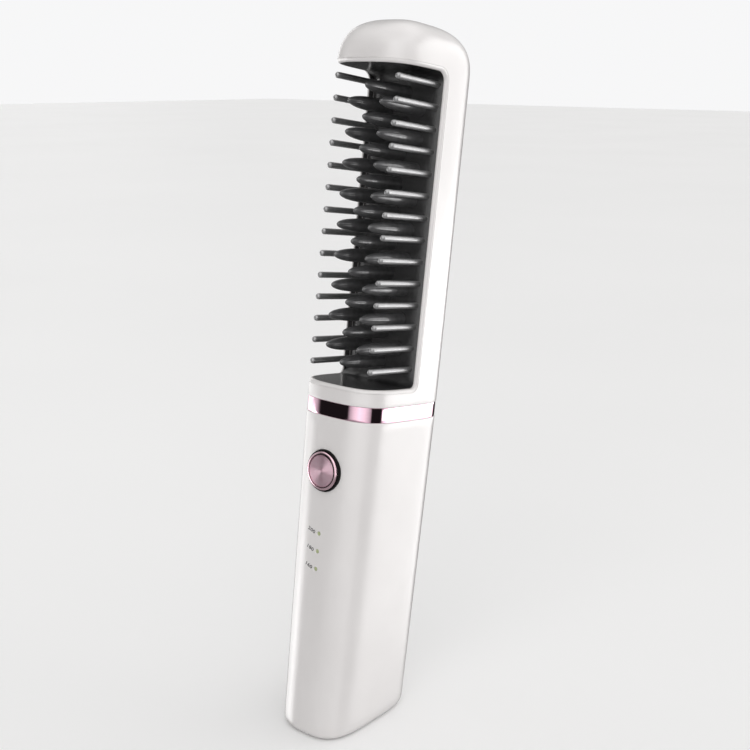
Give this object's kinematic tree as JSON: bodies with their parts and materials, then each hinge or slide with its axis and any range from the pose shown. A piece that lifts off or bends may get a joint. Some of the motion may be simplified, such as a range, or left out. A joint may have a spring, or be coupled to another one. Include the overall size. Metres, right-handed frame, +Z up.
{
  "type": "hair straightening brush",
  "caption": "Cordless hair straightening brush: tapered handle with a round power button, metal band, and an open C-shaped head that holds rows of teeth between guard pins.",
  "frame": {"origin": "centre of the handle's section where its axis meets the base plane it stands on", "axes": "+Z up from the base, -Y the side with the button and the comb, X across the width; the brush leans back 8 degrees toward +Y, because its base is cut at a slant"},
  "size_m": [0.031, 0.0688, 0.2183],
  "materials": {
    "shell_white": "satin",
    "rose_band": "polished",
    "rose_button": "satin",
    "rose_disc": "satin",
    "comb_black": "gloss",
    "pin_grey": "satin",
    "tooth_coat": "satin",
    "bezel_black": "gloss",
    "guide_clear": "satin",
    "inner_grey": "matte",
    "steel": "satin",
    "nickel": "satin",
    "plate_alu": "satin",
    "heater_ceramic": "matte",
    "pad_mica": "matte",
    "lead_red": "satin",
    "lead_white": "satin",
    "cell_wrap": "satin",
    "paper_ring": "matte",
    "board_green": "satin",
    "chip_black": "matte",
    "white_small": "satin"
  },
  "bodies": {
    "brush": {"handle_shell": "shell_white", "bottom_cap": "shell_white", "base_screws": "steel", "band_ring": "rose_band", "neck_sleeve": "inner_grey", "head_shell": "shell_white", "neck_screws": "steel", "comb_frame": "comb_black", "pins_left": "pin_grey", "pins_right": "pin_grey", "heating_plate": "plate_alu", "teeth_left": "tooth_coat", "teeth_centre": "tooth_coat", "teeth_right": "tooth_coat", "ceramic_heaters": "heater_ceramic", "thermistor": "heater_ceramic", "thermal_fuse": "nickel", "insulation_pad": "pad_mica", "heater_clamp": "plate_alu", "clamp_screws": "steel", "heater_leads": "lead_red", "sensor_leads": "lead_white", "button_bezel": "bezel_black", "light_guides": "guide_clear", "battery_cradle": "inner_grey", "battery_cell": "cell_wrap", "cell_tabs": "nickel", "cell_rings": "paper_ring", "main_board": "board_green", "board_screws": "steel", "usb_socket": "steel", "switch_body": "bezel_black", "indicator_leds": "white_small", "power_coil": "chip_black", "control_chips": "chip_black"},
    "button": {"button_cap": "rose_button", "button_disc": "rose_disc"},
    "plunger": {"switch_plunger": "white_small"}
  },
  "joints": [
    {"name": "button_press", "type": "slide", "parent": "brush", "child": "button", "axis": [0, 0.9903, -0.1392], "range_m": [0, 0.0004], "stiffness_N_per_m": 500},
    {"name": "switch_travel", "type": "slide", "parent": "brush", "child": "plunger", "axis": [0, 0.9903, -0.1392], "range_m": [0, 0.0004], "stiffness_N_per_m": 100}
  ],
  "couplings": [
    {"joint": "switch_travel", "follows": "button_press", "ratio": 1}
  ]
}
